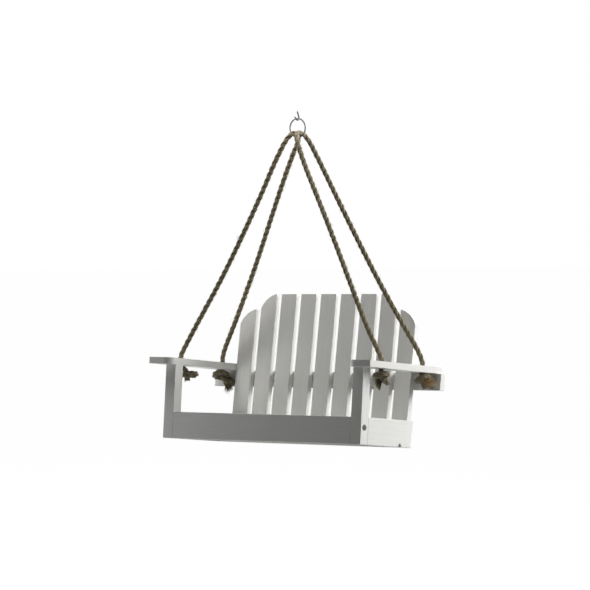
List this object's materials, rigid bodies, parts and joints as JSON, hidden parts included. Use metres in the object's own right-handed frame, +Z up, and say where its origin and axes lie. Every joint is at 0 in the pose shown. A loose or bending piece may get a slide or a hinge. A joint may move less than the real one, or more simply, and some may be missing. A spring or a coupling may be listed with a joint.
{
  "type": "miniature porch swing",
  "caption": "Small slatted wooden porch swing seat hung by two ropes, through holes in its arms, from a steel ring on a wire hook; it swings from the ring.",
  "frame": {"origin": "the top end of the hanging hook's stem, from which everything hangs", "axes": "+Z up along gravity, +X to the right of the seat seen from its front, +Y from the front of the seat to its back; the seat leans back 6.5 degrees as it hangs"},
  "size_m": [0.37, 0.1709, 0.442],
  "materials": {
    "white_paint": "satin",
    "jute_rope": "matte",
    "ring_steel": "satin",
    "hook_wire": "satin",
    "zinc_fasteners": "satin"
  },
  "bodies": {
    "hook": {"hanging_hook": "hook_wire"},
    "ring": {"hanging_ring": "ring_steel"},
    "seat": {"arm_brads": "zinc_fasteners", "arm_left": "white_paint", "arm_right": "white_paint", "back_crossbar": "white_paint", "back_slat_1": "white_paint", "back_slat_2": "white_paint", "back_slat_3": "white_paint", "back_slat_4": "white_paint", "back_slat_5": "white_paint", "back_slat_6": "white_paint", "back_slat_7": "white_paint", "back_slat_8": "white_paint", "back_slat_9": "white_paint", "crossbar_brads": "zinc_fasteners", "front_apron": "white_paint", "front_post_left": "white_paint", "front_post_right": "white_paint", "post_screws": "zinc_fasteners", "rear_rail": "white_paint", "rope_left": "jute_rope", "rope_right": "jute_rope", "seat_board_1": "white_paint", "seat_board_2": "white_paint", "seat_board_3": "white_paint", "seat_board_brads": "zinc_fasteners", "seat_cleat_left": "white_paint", "seat_cleat_right": "white_paint", "side_board_left": "white_paint", "side_board_right": "white_paint", "side_pins": "zinc_fasteners", "slat_foot_brads": "zinc_fasteners", "stopper_knot_front_left": "jute_rope", "stopper_knot_front_right": "jute_rope", "stopper_knot_rear_left": "jute_rope", "stopper_knot_rear_right": "jute_rope"}
  },
  "joints": [
    {"name": "ring_sway", "type": "hinge", "parent": "hook", "child": "ring", "pos_m": [0, 0, -0.0116], "axis": [0, 1, 0], "range_deg": [-20, 20]},
    {"name": "seat_swing", "type": "hinge", "parent": "ring", "child": "seat", "pos_m": [0, 0, -0.03277], "axis": [1, 0, 0], "range_deg": [-25, 25]}
  ]
}
